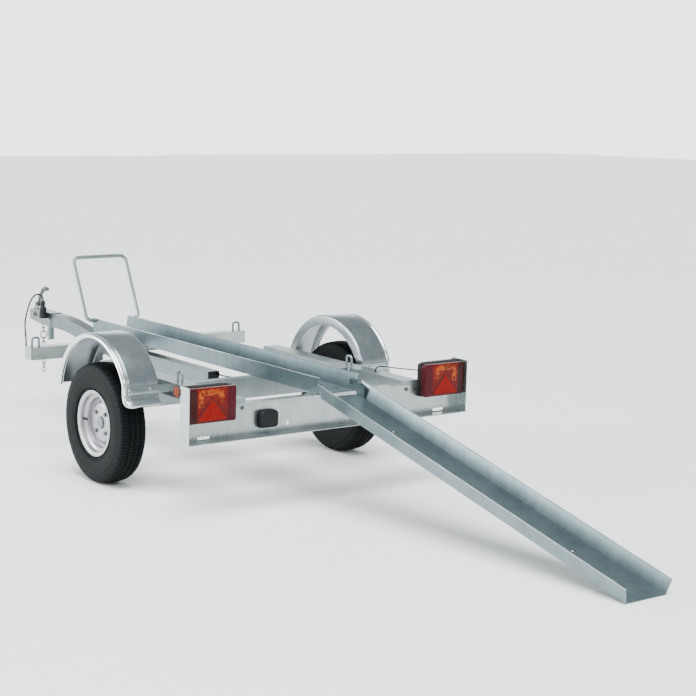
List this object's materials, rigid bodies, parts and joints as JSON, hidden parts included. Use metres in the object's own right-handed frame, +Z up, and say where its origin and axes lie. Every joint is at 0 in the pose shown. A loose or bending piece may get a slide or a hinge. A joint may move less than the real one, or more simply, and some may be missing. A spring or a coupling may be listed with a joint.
{
  "type": "motorcycle trailer",
  "caption": "Single-rail motorcycle trailer with a hinged loading ramp, torsion axle, mudguards, wheel stop, light board, ball coupling and folding prop stand.",
  "frame": {"origin": "on the ground under the middle of the axle", "axes": "+X to the trailer's right, +Y forward to the coupling, +Z up"},
  "size_m": [1.438, 4.54, 0.8651],
  "materials": {
    "galvanised_steel": "hot-dip galvanised, dull spangle",
    "zinc_plated": "zinc plated pressings",
    "black_plastic": "moulded black",
    "cable_rubber": "black sheath",
    "red_lens": "clear red moulding",
    "rim_silver": "silver paint",
    "amber_lens": "clear amber moulding",
    "tyre_rubber": "moulded tread",
    "zinc_nuts": "zinc plated"
  },
  "bodies": {
    "chassis": {"axle_arm_left": "galvanised_steel", "axle_arm_right": "galvanised_steel", "axle_beam": "galvanised_steel", "axle_hangers": "galvanised_steel", "axle_saddle": "galvanised_steel", "coupling_body": "zinc_plated", "coupling_handle": "zinc_plated", "drawbar": "galvanised_steel", "drawbar_plug": "black_plastic", "front_crossbeam": "galvanised_steel", "front_strap_loops": "galvanised_steel", "jockey_tube": "galvanised_steel", "lamp_bases": "black_plastic", "lamp_cable": "cable_rubber", "lamp_lenses": "red_lens", "lead": "cable_rubber", "light_board": "galvanised_steel", "mudguard_left": "galvanised_steel", "mudguard_right": "galvanised_steel", "number_lamp": "black_plastic", "plug": "black_plastic", "plug_holder": "black_plastic", "prop_bracket": "galvanised_steel", "rail_bracket": "galvanised_steel", "ramp_pins": "zinc_plated", "rear_cross_tube": "galvanised_steel", "rear_strap_loops": "galvanised_steel", "reflector_brackets": "galvanised_steel", "safety_chain": "zinc_plated", "side_members": "galvanised_steel", "side_reflectors": "amber_lens", "tab_cable_left": "cable_rubber", "tab_cable_right": "cable_rubber", "wheel_rail": "galvanised_steel", "wheel_stop": "galvanised_steel"},
    "wheel_left": {"hub_left": "galvanised_steel", "rim_left": "rim_silver", "tyre_left": "tyre_rubber", "wheel_nuts_left": "zinc_nuts"},
    "wheel_right": {"hub_right": "galvanised_steel", "rim_right": "rim_silver", "tyre_right": "tyre_rubber", "wheel_nuts_right": "zinc_nuts"},
    "ramp": {"ramp": "galvanised_steel"},
    "prop_leg": {"prop_leg": "galvanised_steel"}
  },
  "joints": [
    {"name": "wheel_left_spin", "type": "hinge", "parent": "chassis", "child": "wheel_left", "pos_m": [-0.6375, 0, 0.262], "axis": [1, 0, 0], "continuous": true},
    {"name": "wheel_right_spin", "type": "hinge", "parent": "chassis", "child": "wheel_right", "pos_m": [0.6375, 0, 0.262], "axis": [1, 0, 0], "continuous": true},
    {"name": "ramp_pivot", "type": "hinge", "parent": "chassis", "child": "ramp", "pos_m": [0, -0.80177, 0.48985], "axis": [-1, 0, 0], "range_deg": [0, 100]},
    {"name": "prop_fold", "type": "hinge", "parent": "chassis", "child": "prop_leg", "pos_m": [0, 1.24874, 0.33723], "axis": [1, 0, 0], "range_deg": [0, 90]}
  ]
}
